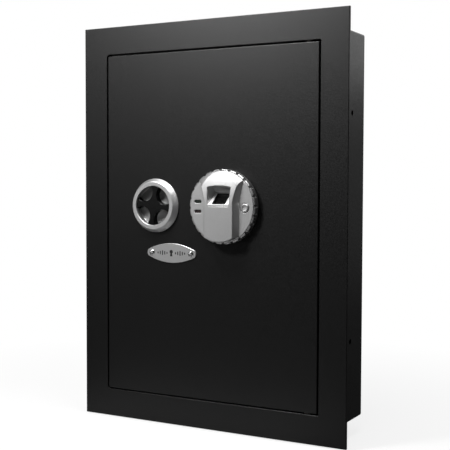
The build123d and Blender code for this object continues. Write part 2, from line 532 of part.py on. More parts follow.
def hood_limit():
    """Turned envelope: bowed front edge above the centre, plain cone below."""
    with BuildSketch() as s:
        with BuildLine():
            Line((0, HOOD_FOOT_Y), (0, HOOD_Y))
            Line((0, HOOD_Y), (26, HOOD_Y))
            Spline([(26, HOOD_Y), (31, HOOD_Y + 0.8), (36, HOOD_Y + 2.3), (41, HOOD_Y + 4.8),
                    (FACE_R, HOOD_Y + 8.0)], tangents=[(1, 0), (0.72, 0.70)])
            Line((FACE_R, HOOD_Y + 8.0), (FACE_R, HOOD_FOOT_Y))
            Line((FACE_R, HOOD_FOOT_Y), (0, HOOD_FOOT_Y))
        make_face()
    span = READER_SPAN
    upper = revolve(Plane.XY * s.sketch, axis=Axis.Y, revolution_arc=360)
    upper = upper & box(-span, span, -span, span, -0.001, span)
    foot_plane = Plane(origin=(0, HOOD_FOOT_Y, 0), z_dir=(0, -1, 0))
    lower = Solid.make_cone(44.8, 43.9, HOOD_FOOT_Y - HOOD_Y, plane=foot_plane)
    lower = lower & box(-span, span, -span, span, -span, 0)
    return upper + lower


def crown_limit():
    """Side profile of the hood: its front falls back towards the top along a parabola."""
    crown = [(HOOD_Y + 2.2 * (k / 12) ** 2, 2.0 + 2.0 * k) for k in range(1, 24)]
    rear_y, top_z, low_z = PLATEAU_Y + 1.2, crown[-1][1], -READER_SPAN
    with BuildSketch(Plane.YZ) as s:
        with BuildLine():
            Line((rear_y, low_z), (HOOD_Y, low_z))
            Line((HOOD_Y, low_z), (HOOD_Y, 2.0))
            Spline([(HOOD_Y, 2.0)] + crown, tangents=[(0, 1), (0.36, 0.93)])
            Line(crown[-1], (rear_y, top_z))
            Line((rear_y, top_z), (rear_y, low_z))
        make_face()
    return extrude(s.sketch, amount=READER_SPAN, both=True)


def mouth_outline(low_half, top_half, z0, z1, y):
    """Outline of the finger recess at depth y, with an arched top."""
    with BuildSketch() as s:
        with BuildLine():
            Line((-low_half, z0), (low_half, z0))
            Line((low_half, z0), (top_half, z1))
            ThreePointArc((top_half, z1), (0, z1 + 1.9), (-top_half, z1))
            Line((-top_half, z1), (-low_half, z0))
        make_face()
    return xz(y) * s.sketch


def mouth_solid(inset):
    """Finger recess, drafted so that it narrows towards the sensor."""
    z0 = 0.4 + inset
    return loft([mouth_outline(15.2 - inset, 17.7 - inset, z0, 25.2 - inset, HOOD_Y - 1.0),
                 mouth_outline(11.6 - inset, 12.9 - inset, z0, 24.4 - inset, -6.9)], ruled=True)


draft = (FOOT_HALF - HOOD_HALF) / (PLATEAU_Y - HOOD_Y)
hood = loft([hood_outline(-0.8 * draft, HOOD_FOOT_Y),
             hood_outline(FOOT_HALF - HOOD_HALF + draft, HOOD_Y - 1.0)], ruled=True)
hood = hood & hood_limit()
hood = hood & crown_limit()
face = turned([(0, -11.45), (44.55, -11.45), (44.55, PLATEAU_Y + 0.85),
               (FACE_R, PLATEAU_Y + 0.85), (FACE_R, PLATEAU_Y + 0.4), (FACE_R - 0.4, PLATEAU_Y),
               (0, PLATEAU_Y)], 0, 0)
reader = face + hood
mouth_wall = mouth_solid(-1.0) & box(-20, 20, -11.5, -7.25, -5, 30)
reader = reader + mouth_wall - mouth_solid(0)
for z in (LED_DZ, -LED_DZ):
    reader = reader - prism(Pos(LED_X, z) * SlotOverall(LED_L, LED_H), -40, 0)
reader = reader - cyl_y(BTN_X, BTN_Z, -20, 0, BTN_R + 0.35)
reader = reader - turned([(0, PLATEAU_Y - 1), (BTN_R + 1.35, PLATEAU_Y),
                          (BTN_R + 0.35, PLATEAU_Y + 0.8), (0, PLATEAU_Y + 0.8)], BTN_X, BTN_Z)
save("reader_cover", AT_READER * reader)

# ---------------------------------------------------------------- sensor
# The sensor ramp lies at about 50 degrees to the door plane.
RAMP_Z0, RAMP_Y0 = 3.5, HOOD_Y + 0.8              # lower edge of the window
RAMP_DZ, RAMP_DY = 0.646, 0.763                   # direction up the ramp
INSERT_HALF, INSERT_Y = 18, -7.1                  # half width before trimming, rear plane


def ramp(distance):
    """Point so many mm up the ramp, as (z, y)."""
    return RAMP_Z0 + distance * RAMP_DZ, RAMP_Y0 + distance * RAMP_DY


mouth = mouth_solid(0.07)
low, high = ramp(-1.0), ramp(21.0)
# bezel side outline, (z, y)
BEZEL = [(0.4, INSERT_Y), (0.4, HOOD_Y + 1.2), (1.2, HOOD_Y + 0.25), (low[0] - 0.3, HOOD_Y + 0.1),
         low, high, (high[0], INSERT_Y)]
bezel = extrude(polygon([(0, y, z) for z, y in BEZEL]), amount=INSERT_HALF, both=True) & mouth
window_z, window_y = ramp(10.3)
window = Plane(origin=(0, window_y, window_z), x_dir=(1, 0, 0), z_dir=(0, -RAMP_DZ, RAMP_DY))
bezel = bezel - extrude(window * RectangleRounded(19.4, 20.7, 1.6), amount=-1.3)
bezel = bezel - extrude(window * RectangleRounded(12, 13, 1), amount=-2.2)
save("sensor_bezel", AT_READER * bezel)

glass = extrude(window * RectangleRounded(19.3, 20.6, 1.55), amount=-1.25)
save("sensor_window", AT_READER * glass)

# filling above the ramp, with a hollow arc on its finger side
heel = (high[1] - 0.6, high[0] + 0.05)            # (y, z)
with BuildSketch(Plane.YZ) as cradle_side:
    with BuildLine():
        Line((INSERT_Y, heel[1]), (INSERT_Y, 28))
        Line((INSERT_Y, 28), (-21.0, 28))
        Line((-21.0, 28), (-21.0, 26.6))
        ThreePointArc((-21.0, 26.6), (-12.2, 23.8), heel)
        Line(heel, (INSERT_Y, heel[1]))
    make_face()
cradle = extrude(cradle_side.sketch, amount=INSERT_HALF, both=True) & mouth
save("finger_cradle", AT_READER * cradle)

# ---------------------------------------------------------------- reader lamps, button, board
LENS_Y = PLATEAU_Y + 0.8
for name, z in (("led_lens_green", LED_DZ), ("led_lens_red", -LED_DZ)):
    lamp = prism(Pos(LED_X, z) * SlotOverall(LED_L - 0.2, LED_H - 0.2), LENS_Y, -11.3)
    lamp = lamp + prism(Pos(LED_X, z) * SlotOverall(LED_L + 2, LED_H + 1.6), -11.4, -10.6)
    save(name, AT_READER * fillet(edges_at_y(lamp, LENS_Y), 0.5))

button = turned([(0, -10.3), (6.4, -10.3), (6.4, -11.3), (BTN_R, -11.3), (BTN_R, PLATEAU_Y - 0.5),
                 (BTN_R - 0.3, PLATEAU_Y - 1.0), (BTN_R - 0.9, PLATEAU_Y - 1.35),
                 (3.7, PLATEAU_Y - 1.35), (3.0, PLATEAU_Y - 1.1), (1.6, PLATEAU_Y - 0.9),
                 (0, PLATEAU_Y - 0.85)], BTN_X, BTN_Z)
save("scan_button", AT_READER * button)

BOARD_Y = -8.7                                    # front of the reader board
board = prism(Circle(41.8), BOARD_Y, -7.3) - prism(Pos(0, 13.9) * Rectangle(37.5, 29.6), -10, 0)
board = drill(board, [(x - READ_X, z - READ_Z) for x, z in READER_SCREWS], -10, 0, 3.0)
board = board + block(BTN_X, BTN_Z, -9.15, BOARD_Y, 3, 3)
board = board + box(-8, 8, -10.4, BOARD_Y, -24, -12) + box(-22, -14, -10.0, BOARD_Y, -26, -16)
for z in (LED_DZ, -LED_DZ):
    board = board + block(LED_X, z, -10.0, BOARD_Y, 1.5, 1.5)
save("reader_board", AT_READER * board)

# ---------------------------------------------------------------- electronics behind the door
CB_X0, CB_X1, CB_Z0, CB_Z1 = 16.0, 108.0, -72.0, -8.0
CB_Y0, CB_Y1 = 6.0, 7.6
STANDOFFS = [(x, z) for x in (CB_X0 + 5, CB_X1 - 5) for z in (CB_Z0 + 5, CB_Z1 - 5)]
# rectangular components: x0, x1, rear y, z0, z1
COMPONENTS = [(34, 52, 9.4, -50, -32), (60, 70, 9.0, -58, -50), (60, 70, 9.0, -44, -36),
              (72, 84, 13.5, -68, -60), (20, 30, 14, -48, -38), (56, 66, 12.5, -22, -14)]
# round components: x, z, rear y, radius
ROUND_COMPONENTS = [(40, -20, 16, 6.0), (74, -26, 15.0, 2.4), (74, -20, 15.0, 2.4),
                    (74, -14, 15.0, 2.4)]
control = drill(box(CB_X0, CB_X1, CB_Y0, CB_Y1, CB_Z0, CB_Z1), STANDOFFS, 5, 9, 1.6)
for x0, x1, rear_y, z0, z1 in COMPONENTS:
    control = control + box(x0, x1, CB_Y1, rear_y, z0, z1)
for x, z, rear_y, r in ROUND_COMPONENTS:
    control = control + cyl_y(x, z, CB_Y1, rear_y, r)
control = control + block(PROG_X, PROG_Z, CB_Y1, 18.6, 4, 4) + cyl_y(PROG_X, PROG_Z, 18.6, 19.6, 2)
save("control_board", control)

STANDOFF = [(0, 0), (3.2, 0), (3.2, 5.95), (1.5, 5.95), (1.5, 8.0), (2.6, 8.0), (2.6, 9.4),
            (0, 9.4)]                             # (radius, y)
save("board_standoffs", *[turned(STANDOFF, x, z) for x, z in STANDOFFS])

save("program_button", turned([(0, 21.2), (8.2, 21.2), (8.2, 22.4), (6.0, 22.4), (6.0, 26.8),
                               (5.3, 27.5), (0, 27.5)], PROG_X, PROG_Z))

path = FilletPolyline((READ_X, -7.1, READ_Z - 4), (READ_X, 18.0, READ_Z - 4),
                      (61.0, 18.0, -18.0), (61.0, 12.6, -18.0), radius=5.0)
cable = sweep(Plane(origin=path @ 0, z_dir=path % 0) * Circle(1.7), path=path)
save("reader_cable", cable)

# ---------------------------------------------------------------- batteries
CASE_X0, CASE_X1, CASE_Z0, CASE_Z1 = BAT_X0 + 1.0, BAT_X1 - 1.0, BAT_Z0 + 1.0, BAT_Z1 - 1.0
CASE_Z, WALL = (CASE_Z0 + CASE_Z1) / 2, 1.5
CELL_PITCH, CELL_Y, CELL_R, CELL_HALF = 15.6, 12.2, 7.2, 24.6
case = box(CASE_X0, CASE_X1, 3.0, 21.5, CASE_Z0, CASE_Z1)
case = case - box(CASE_X0 + WALL, CASE_X1 - WALL, 4.5, 23, CASE_Z0 + WALL, CASE_Z1 - WALL)
for k in (-1, 0, 1):
    x = BAT_X + k * CELL_PITCH
    case = case + box(x - 0.4, x + 0.4, 4.5, 12, CASE_Z0 + WALL, CASE_Z1 - WALL)
for x in (CASE_X0 + 8, CASE_X1 - 8):
    case = case + cyl_y(x, CASE_Z, 0, 3.0, 3.5)
save("battery_box", case)

cells, contacts = [], []
for k in range(4):
    x = BAT_X + (k - 1.5) * CELL_PITCH
    up = 1 if k % 2 == 0 else -1                  # neighbouring cells point opposite ways
    cell = cyl_z(x, CELL_Y, CASE_Z - CELL_HALF, CASE_Z + CELL_HALF, CELL_R)
    cell = fillet(cell.edges().filter_by(GeomType.CIRCLE), 0.6)
    cells.append(cell + cyl_z(x, CELL_Y, CASE_Z + up * CELL_HALF, CASE_Z + up * 25.9, 2.7))
    # plate at each end, with a button at the cell's nipple and a cone at its flat end
    nipple_plate, flat_plate = [
        box(x - 5.5, x + 5.5, 6, 18, CASE_Z + end * 28.0, CASE_Z + end * 28.4)
        for end in (up, -up)]
    contacts.append(
        nipple_plate + cyl_z(x, CELL_Y, CASE_Z + up * 26.0, CASE_Z + up * 28.1, 2.4))
    turn = Rot(0, 0 if up > 0 else 180, 0)
    cone = Pos(x, CELL_Y, CASE_Z - up * 26.4) * turn * Cone(5.0, 3.0, 3.2)
    contacts.append(cone + flat_plate)
save("batteries", *cells)
save("battery_contacts", *contacts)

LID_Y = COVER_Y + 2.4                             # rear face of the lid
lid = box(BAT_X0 - 0.9, BAT_X1 + 0.9, COVER_Y + 0.3, LID_Y, BAT_Z0 - 1.0, BAT_Z1)
for k in range(5):                                # ribs that shorten downwards
    half, z = 9 - k * 0.9, BAT_Z1 - 10 - 3.0 * k
    lid = lid + box(BAT_X - half, BAT_X + half, LID_Y, COVER_Y + 3.2, z, z + 1.4)
save("battery_lid", lid)
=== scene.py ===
"""Small black powder-coated safe with a turning knob and a fingerprint reader on its door.

The door faces -Y, +X is to the right seen from the front, and +Z is up.
"""
import math
import random

import bmesh
import bpy
from mathutils import Matrix, Vector

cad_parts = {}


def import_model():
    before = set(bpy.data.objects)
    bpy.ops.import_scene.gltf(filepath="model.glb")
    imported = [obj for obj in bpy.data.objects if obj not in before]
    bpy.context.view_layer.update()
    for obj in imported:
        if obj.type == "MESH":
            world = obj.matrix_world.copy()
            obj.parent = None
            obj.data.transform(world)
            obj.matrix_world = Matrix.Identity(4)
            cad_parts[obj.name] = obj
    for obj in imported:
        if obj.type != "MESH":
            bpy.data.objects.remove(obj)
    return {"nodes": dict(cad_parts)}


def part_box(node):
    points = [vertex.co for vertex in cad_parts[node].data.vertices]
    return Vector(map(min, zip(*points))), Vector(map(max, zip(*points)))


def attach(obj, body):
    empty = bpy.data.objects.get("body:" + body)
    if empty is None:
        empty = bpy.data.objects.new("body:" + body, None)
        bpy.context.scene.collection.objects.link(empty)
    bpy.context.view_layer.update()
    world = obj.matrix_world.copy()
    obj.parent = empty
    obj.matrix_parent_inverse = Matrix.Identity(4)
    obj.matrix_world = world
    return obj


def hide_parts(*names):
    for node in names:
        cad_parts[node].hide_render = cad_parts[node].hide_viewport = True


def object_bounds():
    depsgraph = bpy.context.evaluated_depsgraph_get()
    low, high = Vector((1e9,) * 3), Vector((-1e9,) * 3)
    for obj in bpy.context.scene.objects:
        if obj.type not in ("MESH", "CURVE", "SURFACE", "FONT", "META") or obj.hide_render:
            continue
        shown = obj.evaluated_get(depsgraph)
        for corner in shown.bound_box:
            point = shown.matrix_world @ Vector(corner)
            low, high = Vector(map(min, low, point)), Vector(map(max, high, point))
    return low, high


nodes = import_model()["nodes"]
cad_low, cad_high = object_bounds()
random.seed(7)

# Turning axes of the round parts, which run parallel to Y, as (x, z)
KNOB_AXIS = (-0.0782, 0.0255)
READER_AXIS = (0.0278, 0.0255)
LOCK_AXIS = (-0.0532, -0.037)


def pieces(names):
    """The CAD pieces named in a space-separated list."""
    return [nodes[name] for name in names.split()]


# ================================================================ shader helpers
def set_inputs(node, inputs):
    """Link or set each input; keys are socket names or numbers, colours are (r, g, b)."""
    for key, value in inputs.items():
        socket = node.inputs[key]
        if isinstance(value, bpy.types.NodeSocket):
            node.id_data.links.new(value, socket)
        elif socket.type == "RGBA":
            socket.default_value = (*value, 1.0)
        else:
            socket.default_value = value


def add_node(tree, kind, inputs, **settings):
    node = tree.nodes.new(kind)
    for name, value in settings.items():
        setattr(node, name, value)
    set_inputs(node, inputs)
    return node


def grey(level):
    return (level, level, level)


def scaled(color, factor):
    return tuple(channel * factor for channel in color)


class Shader:
    """A material with a Principled surface; each method adds a node and returns its output."""

    def __init__(self, name):
        self.material = bpy.data.materials.new(name)
        self.material.use_nodes = True
        self.tree = self.material.node_tree
        self.tree.nodes.clear()
        self.output = self.add("ShaderNodeOutputMaterial", {})
        self.surface = self.add("ShaderNodeBsdfPrincipled", {})
        set_inputs(self.output, {0: self.surface.outputs[0]})

    def add(self, kind, inputs, **settings):
        return add_node(self.tree, kind, inputs, **settings)

    def finish(self, inputs):
        """Set the inputs of the Principled surface and return the material."""
        set_inputs(self.surface, inputs)
        return self.material

    def coords(self, scale=(1, 1, 1), turn=(0, 0, 0), shift=(0, 0, 0)):
        place = self.add("ShaderNodeTexCoord", {}).outputs["Object"]
        inputs = {"Scale": scale, "Rotation": turn, "Location": shift, "Vector": place}
        return self.add("ShaderNodeMapping", inputs).outputs[0]

    def split(self, vector):
        return self.add("ShaderNodeSeparateXYZ", {0: vector}).outputs

    def noise(self, vector, scale, detail=3.0, rough=0.55):
        inputs = {"Scale": scale, "Detail": detail, "Roughness": rough, "Vector": vector}
        return self.add("ShaderNodeTexNoise", inputs).outputs[0]

    def cells(self, vector, scale):
        inputs = {"Scale": scale, "Vector": vector}
        return self.add("ShaderNodeTexVoronoi", inputs).outputs["Distance"]

    def remap(self, value, source, target=(0.0, 1.0)):
        inputs = {
            "From Min": source[0], "From Max": source[1],
            "To Min": target[0], "To Max": target[1],
            "Value": value,
        }
        return self.add("ShaderNodeMapRange", inputs).outputs[0]

    def calc(self, operation, *values):
        inputs = dict(enumerate(values))
        return self.add("ShaderNodeMath", inputs, operation=operation).outputs[0]

    def mix(self, factor, first, second):
        inputs = {0: factor, 6: first, 7: second}
        return self.add("ShaderNodeMix", inputs, data_type="RGBA").outputs[2]

    def tint(self, factor, color, low, high):
        """Colour drifting between low and high times its own brightness."""
        return self.mix(factor, scaled(color, low), scaled(color, high))

    def mix_shaders(self, factor, first, second):
        return self.add("ShaderNodeMixShader", {0: factor, 1: first, 2: second}).outputs[0]

    def bump(self, height, strength, distance, under=None):
        """Relief on the surface, laid over the normal given as under."""
        inputs = {"Strength": strength, "Distance": distance, "Height": height}
        if under is not None:
            inputs["Normal"] = under
        return self.add("ShaderNodeBump", inputs).outputs[0]


# ================================================================ materials
def powder_coat():
    """Black textured powder coat: fine orange peel, soft sheen, slight colour drift."""
    shader = Shader("powder_coat")
    place = shader.coords()
    fine = shader.noise(place, scale=1500, detail=2.0, rough=0.6)
    peel = shader.noise(place, scale=560, detail=2.0, rough=0.5)
    wide = shader.noise(place, scale=6, detail=3.0, rough=0.5)
    drift = shader.remap(wide, source=(0.35, 0.65), target=(0.35, 0.65))
    relief = shader.bump(peel, strength=0.38, distance=0.00014)
    return shader.finish({
        "Base Color": shader.mix(drift, grey(0.0035), grey(0.0050)),
        "Roughness": shader.remap(peel, source=(0.3, 0.7), target=(0.33, 0.45)),
        "Specular IOR Level": 0.33,
        "Normal": shader.bump(fine, strength=0.55, distance=0.00010, under=relief),
    })


def smooth_paint(name, level, rough):
    shader = Shader(name)
    place = shader.coords()
    wide = shader.noise(place, scale=14)
    middle = (0.35, 0.65)
    drift = shader.remap(wide, source=middle)
    peel = shader.noise(place, scale=330, detail=1.5)
    return shader.finish({
        "Base Color": shader.tint(drift, grey(level), low=0.85, high=1.1),
        "Roughness": shader.remap(wide, source=middle, target=(rough - 0.04, rough + 0.05)),
        "Normal": shader.bump(peel, strength=0.18, distance=0.00015),
    })


def metal(name, color, rough, grain=(1, 1, 1), grain_scale=900, rough_range=0.12,
          drift=0.06, relief=0.00002):
    """Metal with a grain direction set by the stretch of its noise."""
    shader = Shader(name)
    streaks = shader.noise(shader.coords(scale=grain), grain_scale, detail=2.5, rough=0.6)
    wide = shader.noise(shader.coords(), scale=30)
    half = rough_range / 2
    middle = (0.3, 0.7)
    return shader.finish({
        "Base Color": shader.tint(shader.remap(wide, source=middle), color,
                                  low=1 - drift, high=1 + drift),
        "Metallic": 1.0,
        "Roughness": shader.remap(streaks, source=middle, target=(rough - half, rough + half)),
        "Normal": shader.bump(streaks, strength=0.25, distance=relief),
    })


def turned_metal(name, color, rough, axis, rough_range=0.14, shaded_dish=None):
    """Lathe-turned metal: fine rings round an axis parallel to Y through axis (x, z).

    The last argument gives the (radius, grey level, roughness) of the centre: a rougher finish,
    and a darker grey that is painted shade of the recessed wells.
    """
    shader = Shader(name)
    x, y, z = shader.split(shader.coords(shift=(-axis[0], 0, -axis[1])))
    squares = shader.calc("ADD", shader.calc("POWER", x, 2.0), shader.calc("POWER", z, 2.0))
    radius = shader.calc("SQRT", squares)
    depth = shader.calc("MULTIPLY", y, 1.0)
    profile = shader.add("ShaderNodeCombineXYZ", {0: radius, 1: depth}).outputs[0]
    rings = shader.noise(profile, scale=1500, detail=2.0, rough=0.7)
    wide = shader.noise(shader.coords(), scale=45)
    half = rough_range / 2
    middle = (0.3, 0.7)
    tone = shader.tint(shader.remap(wide, source=middle), color, low=0.93, high=1.04)
    gloss = shader.remap(rings, source=middle, target=(rough - half, rough + half))
    if shaded_dish:
        dish_radius, dish_shade_level, dish_rough = shaded_dish
        inside = shader.calc("LESS_THAN", radius, dish_radius)
        # Painted shade: inside the radius the colour darkens to the given grey
        tone = shader.mix(inside, tone, grey(dish_shade_level))
        gloss = shader.calc("ADD", gloss, shader.calc("MULTIPLY", inside, dish_rough - rough))
    return shader.finish({
        "Base Color": tone,
        "Metallic": 1.0,
        "Roughness": gloss,
        "Normal": shader.bump(rings, strength=0.15, distance=0.00002),
    })


def flake_silver(name, level, rough, metallic=0.85):
    """Silver lacquer over a die casting: tiny flake, a fine texture and softened edges."""
    shader = Shader(name)
    place = shader.coords()
    flake = shader.cells(place, scale=2600)
    wide = shader.noise(place, scale=60)
    tone = shader.tint(shader.remap(flake, source=(0.0, 0.7)), grey(level), low=0.9, high=1.08)
    patches = shader.remap(wide, source=(0.35, 0.65), target=(0.0, 0.35))
    peel = shader.noise(place, scale=520, detail=1.5)
    soft_edge = shader.add("ShaderNodeBevel", {"Radius": 0.0012}, samples=6).outputs[0]
    return shader.finish({
        "Base Color": shader.mix(patches, tone, grey(level * 0.94)),
        "Metallic": metallic,
        "Roughness": shader.remap(wide, source=(0.3, 0.7), target=(rough - 0.04, rough + 0.05)),
        "Normal": shader.bump(peel, strength=0.15, distance=0.00006, under=soft_edge),
    })


def plastic(name, color, rough, grain, strength=0.2, coat=0.0, specular=0.5):
    """Moulded part; grain is the scale of its texture and strength the depth of it."""
    shader = Shader(name)
    place = shader.coords()
    fine = shader.noise(place, scale=grain, detail=2)
    wide = shader.noise(place, scale=25, detail=2)
    middle = (0.3, 0.7)
    return shader.finish({
        "Base Color": shader.tint(shader.remap(wide, source=middle), color, low=0.88, high=1.1),
        "Roughness": shader.remap(fine, source=middle, target=(rough - 0.05, rough + 0.05)),
        "Normal": shader.bump(fine, strength=strength, distance=0.00004),
        "Specular IOR Level": specular,
        "Coat Weight": coat,
        "Coat Roughness": 0.06,
    })


def solder_mask():
    """Green solder mask with lighter traces and pale pads, laid out in XZ."""
    shader = Shader("solder_mask")
    x, _, z = shader.split(shader.coords())
    flat = shader.add("ShaderNodeCombineXYZ", {0: x, 1: z}).outputs[0]
    traces = shader.add("ShaderNodeTexBrick", {
        "Scale": 90,
        "Mortar Size": 0.03,
        "Vector": flat,
        "Color1": (0.010, 0.085, 0.035),
        "Color2": (0.014, 0.110, 0.045),
        "Mortar": (0.03, 0.20, 0.09),
    }, offset=0.37)
    dots = shader.cells(flat, scale=330)
    pads = shader.remap(dots, source=(0.10, 0.16), target=(1.0, 0.0))
    return shader.finish({
        "Base Color": shader.mix(pads, traces.outputs[0], (0.55, 0.50, 0.34)),
        "Roughness": 0.32,
        "Normal": shader.bump(traces.outputs[1], strength=0.3, distance=0.00005),
    })


def sensor_glass():
    """Near-black glass with faint smudges."""
    shader = Shader("sensor_glass")
    smudge = shader.noise(shader.coords(), scale=120, detail=4, rough=0.6)
    span = (0.35, 0.7)
    drift = shader.remap(smudge, source=span)
    return shader.finish({
        "Base Color": shader.mix(drift, grey(0.0012), grey(0.0025)),
        "Roughness": shader.remap(smudge, source=span, target=(0.04, 0.12)),
        "Specular IOR Level": 0.25,
        "Coat Weight": 0.15,
        "Coat Roughness": 0.04,
    })


def felt():
    """Dark needle felt with sparse paler flecks."""
    shader = Shader("felt")
    place = shader.coords()
    fibre = shader.noise(place, scale=850, detail=4, rough=0.75)
    wide = shader.noise(place, scale=40)
    body = shader.mix(shader.remap(fibre, source=(0.3, 0.75)),
                      (0.010, 0.0105, 0.0115), (0.034, 0.035, 0.037))
    slanted = shader.coords(scale=(1.0, 2.2, 1.0), turn=(0, 0, 0.7))
    fleck = shader.noise(slanted, scale=420, detail=1.0, rough=0.5)
    flecks = shader.remap(fleck, source=(0.60, 0.72))
    waves = shader.bump(wide, strength=0.5, distance=0.0006)
    return shader.finish({
        "Base Color": shader.mix(flecks, body, (0.085, 0.087, 0.092)),
        "Roughness": 0.95,
        "Sheen Weight": 0.12,
        "Sheen Roughness": 0.6,
        "Normal": shader.bump(fibre, strength=0.7, distance=0.0004, under=waves),
    })


def engraved_plate():
    """Satin silver plate whose shallow engraving is filled with dark enamel."""
    engraved_half_x, engraved_half_z = 0.0225, 0.0052
    engraved_depth = 0.00006  # anything deeper than this behind the plate's front is enamel
    silver_metallic = 0.85
    shader = Shader("satin_plate")
    grain = shader.noise(shader.coords(scale=(4, 60, 60)), scale=55, detail=2.5, rough=0.6)
    low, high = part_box("key_cover_plate")
    centre = (low + high) / 2
    x, y, z = shader.split(shader.coords(shift=(-centre.x, 0, -centre.z)))
    deep = shader.calc("GREATER_THAN", y, low.y + engraved_depth)
    in_x = shader.calc("LESS_THAN", shader.calc("ABSOLUTE", x), engraved_half_x)
    in_z = shader.calc("LESS_THAN", shader.calc("ABSOLUTE", z), engraved_half_z)
    enamel = shader.calc("MULTIPLY", shader.calc("MULTIPLY", deep, in_x), in_z)
    return shader.finish({
        "Base Color": shader.mix(enamel, grey(0.63), grey(0.012)),
        "Metallic": shader.calc("MULTIPLY_ADD", enamel, -silver_metallic, silver_metallic),
        "Roughness": shader.remap(grain, source=(0.3, 0.7), target=(0.34, 0.48)),
        "Normal": shader.bump(grain, strength=0.25, distance=0.00002),
    })


# ================================================================ materials onto pieces
def dress(names, material):
    """Give the named pieces this one material."""
    for piece in pieces(names):
        piece.data.materials.clear()
        piece.data.materials.append(material)
    return material


coat = dress("front_frame body_shell back_panel door_plate latch_jamb door_stops hinge_brackets "
             "door_hinge_lugs shelf_upper shelf_lower shelf_rails", powder_coat())
cover_paint = dress("inner_cover", smooth_paint("cover_paint", level=0.030, rough=0.38))
dress("cover_posts cover_screws bolt_guides bar_guide_studs bolt_bar bolt_rivets crank_disc "
      "crank_screw reader_screws board_standoffs solenoid_frame lock_cam lock_cam_screw",
      metal("zinc_plate", (0.60, 0.61, 0.62), rough=0.34, grain_scale=420, rough_range=0.16,
            drift=0.10))
dress("locking_bolts crank_pin knob_spindle",
      metal("ground_steel", (0.66, 0.66, 0.67), rough=0.20, grain=(1, 30, 30), grain_scale=60))
dress("solenoid_plunger plunger_spring hinge_pins",
      metal("drawn_steel", (0.62, 0.62, 0.63), rough=0.24, grain=(30, 30, 1), grain_scale=60))
dress("hinge_washers knob_bearing", plastic("nylon", (0.72, 0.71, 0.66), rough=0.45, grain=300))
# Inside 25.3 mm the knob's recessed wells are rougher and darkened to grey 0.42 as painted shade
dress("knob_body", turned_metal("knob_silver", grey(0.74), rough=0.48, axis=KNOB_AXIS,
                                rough_range=0.06, shaded_dish=(0.0253, 0.42, 0.66)))
dress("reader_cover scan_button", flake_silver("reader_silver", level=0.66, rough=0.38))
# Painted light: the bezel gets a whiter, less metallic copy of the reader silver so its
# upward-facing frame reads as lit
dress("sensor_bezel", flake_silver("bezel_silver_painted_light", level=0.92, rough=0.46, metallic=0.2))
# Painted light: a slightly lighter, rougher copy of the reader silver lifts the shaded back wall
# of the finger recess
dress("finger_cradle", flake_silver("cradle_silver_painted_light", level=0.70, rough=0.50))
dress("reader_scallop_ring", turned_metal("ring_silver", grey(0.50), rough=0.42,
                                          axis=READER_AXIS, rough_range=0.06))
dress("key_cover_screws", metal("bright_plate", grey(0.80), rough=0.10, grain_scale=500,
                                rough_range=0.05, drift=0.03))
dress("key_cover_plate", engraved_plate())
dress("knob_grip_cross", plastic("gloss_black", grey(0.0022), rough=0.14, grain=300,
                                 strength=0.05, specular=0.3))
dress("reader_base battery_box battery_lid program_button",
      plastic("dark_moulding", grey(0.016), rough=0.42, grain=900, strength=0.3))
dress("sensor_window", sensor_glass())
dress("led_lens_green", plastic("lens_green", (0.020, 0.030, 0.022), rough=0.20, grain=400,
                                strength=0.1, specular=0.6))
dress("led_lens_red", plastic("lens_red", (0.034, 0.020, 0.019), rough=0.20, grain=400,
                              strength=0.1, specular=0.6))
dress("reader_board control_board", solder_mask())
dress("reader_cable", plastic("cable_sheath", grey(0.012), rough=0.5, grain=500, strength=0.3))
dress("reader_gasket", plastic("foam", grey(0.015), rough=0.9, grain=1500, strength=0.6))
dress("solenoid_coil",
      metal("copper_winding", (0.70, 0.30, 0.13), rough=0.30, grain=(0.02, 0.02, 60),
            grain_scale=60, rough_range=0.2, relief=0.0002))
dress("lock_barrel lock_plug",
      turned_metal("turned_brass", (0.65, 0.50, 0.24), rough=0.28, axis=LOCK_AXIS))
dress("battery_contacts", metal("nickel", (0.66, 0.65, 0.61), rough=0.22, grain_scale=500))
dress("batteries", plastic("cell_sleeve", (0.030, 0.034, 0.040), rough=0.22, grain=60,
                           strength=0.05, coat=0.3))
felt_material = dress("floor_mat", felt())


def add_plane(name, size, place):
    bpy.ops.mesh.primitive_plane_add(size=size, location=place)
    plane = bpy.context.object
    plane.name = name
    return plane


# ================================================================ felt mat on the safe's floor
MAT_THICK = 0.0024
MAT_GAP = 0.002         # left round the sheet as cut
MAT_MIN_GAP = 0.001     # kept round it once it has settled
MAT_DROP = 0.0030       # mean height it falls from
MAT_CLEARANCE = 0.0001  # least gap under the finished mat
MAT_TOP = 0.0046        # greatest height of its middle surface
MAT_COLUMNS, MAT_ROWS = 96, 24


def felt_sheet(low, high):
    """Flat-cut sheet with slow waves, ready to fall."""
    mesh = bpy.data.meshes.new("felt_mat")
    bm = bmesh.new()
    grid = []
    for j in range(MAT_ROWS + 1):
        row = []
        for i in range(MAT_COLUMNS + 1):
            across, back = i / MAT_COLUMNS, j / MAT_ROWS
            x = low.x + MAT_GAP + (high.x - low.x - 2 * MAT_GAP) * across
            y = low.y + MAT_GAP + (high.y - low.y - 2 * MAT_GAP) * back
            long_wave = math.sin(5.3 * across * math.pi + 0.7) * math.cos(2.1 * back + 0.4)
            short_wave = math.sin(11 * across + 4 * back)
            z = low.z + MAT_DROP + 0.0011 * long_wave + 0.0008 * short_wave
            row.append(bm.verts.new((x, y, z)))
        grid.append(row)
    for near, far in zip(grid, grid[1:]):
        for i in range(MAT_COLUMNS):
            bm.faces.new((near[i], near[i + 1], far[i + 1], far[i]))
    bm.to_mesh(mesh)
    bm.free()
    sheet = bpy.data.objects.new("felt_mat", mesh)
    bpy.context.scene.collection.objects.link(sheet)
    return sheet


